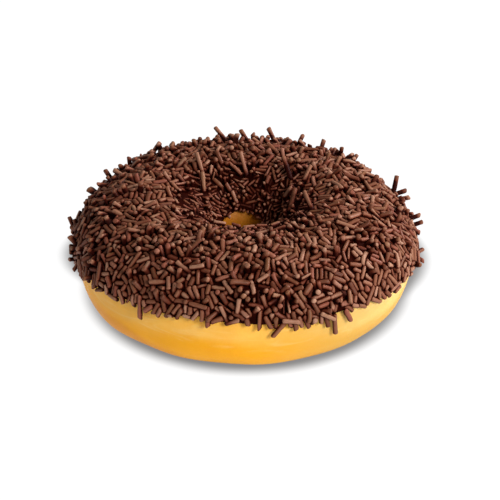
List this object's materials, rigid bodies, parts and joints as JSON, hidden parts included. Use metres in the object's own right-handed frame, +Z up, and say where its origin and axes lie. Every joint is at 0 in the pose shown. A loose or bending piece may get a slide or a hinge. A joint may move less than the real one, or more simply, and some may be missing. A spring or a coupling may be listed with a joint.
{
  "type": "chocolate sprinkle doughnut",
  "caption": "Ring doughnut of golden raised dough, dipped to its middle in chocolate icing and covered all over the top with chocolate sprinkles.",
  "frame": {"origin": "under the middle of the ring, on the surface that the doughnut rests on", "axes": "+Z up through the hole, iced side up; the side seen first faces -Y"},
  "size_m": [0.0933, 0.0909, 0.0334],
  "materials": {
    "dough": "fried golden dough, soft satin skin",
    "chocolate": "chocolate icing and chocolate sprinkles, dull with a faint waxy shine"
  },
  "bodies": {
    "root": {"dough": "dough", "sprinkled_icing": "chocolate"}
  },
  "joints": []
}
